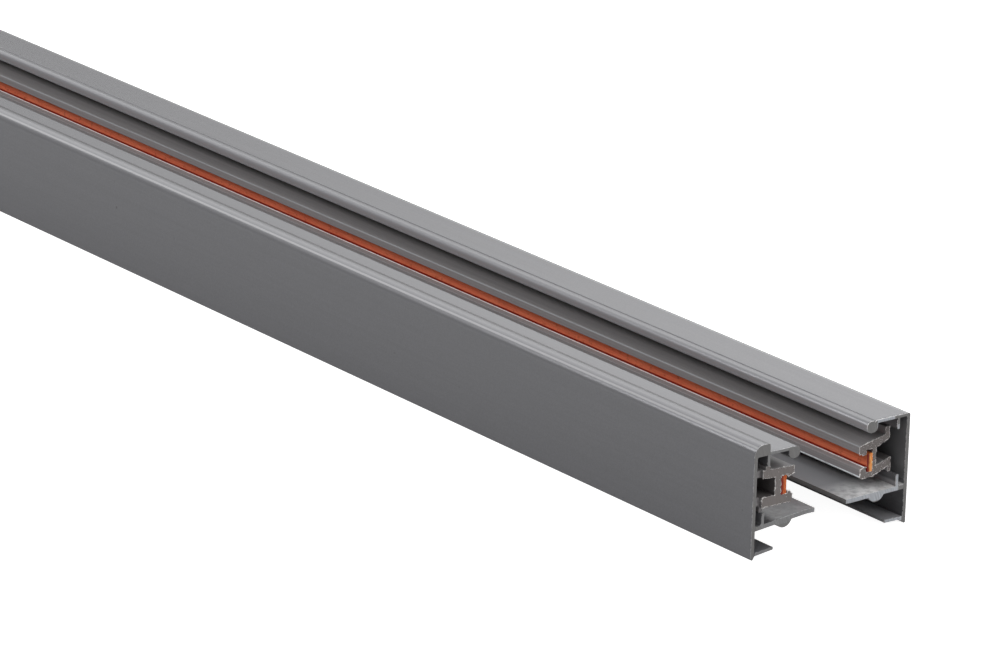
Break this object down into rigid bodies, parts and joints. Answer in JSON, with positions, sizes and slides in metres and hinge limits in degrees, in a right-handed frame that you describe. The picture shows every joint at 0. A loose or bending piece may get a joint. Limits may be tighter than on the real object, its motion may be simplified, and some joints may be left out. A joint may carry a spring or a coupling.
{
  "type": "lighting track",
  "caption": "Length of surface lighting track: grey aluminium channel with a raised keying bead on one side, plastic insulating strips and flat copper conductors.",
  "frame": {"origin": "middle of the underside, between the feet of the side walls", "axes": "+X along the track, towards the end that the picture shows; +Y across, from the wall with the raised bead to the level wall; +Z out of the open side"},
  "size_m": [0.5, 0.035, 0.0207],
  "materials": {
    "painted_aluminium": "satin grey powder coat, bare at the sawn ends",
    "grey_insulation": "dull extruded grey plastic with sawn ends",
    "copper": "bare rolled copper strip, slightly dulled"
  },
  "bodies": {
    "root": {"track_profile": "painted_aluminium", "bead_side_insulator": "grey_insulation", "flush_side_insulator": "grey_insulation", "bead_side_conductor": "copper", "flush_side_conductor": "copper"}
  },
  "joints": []
}
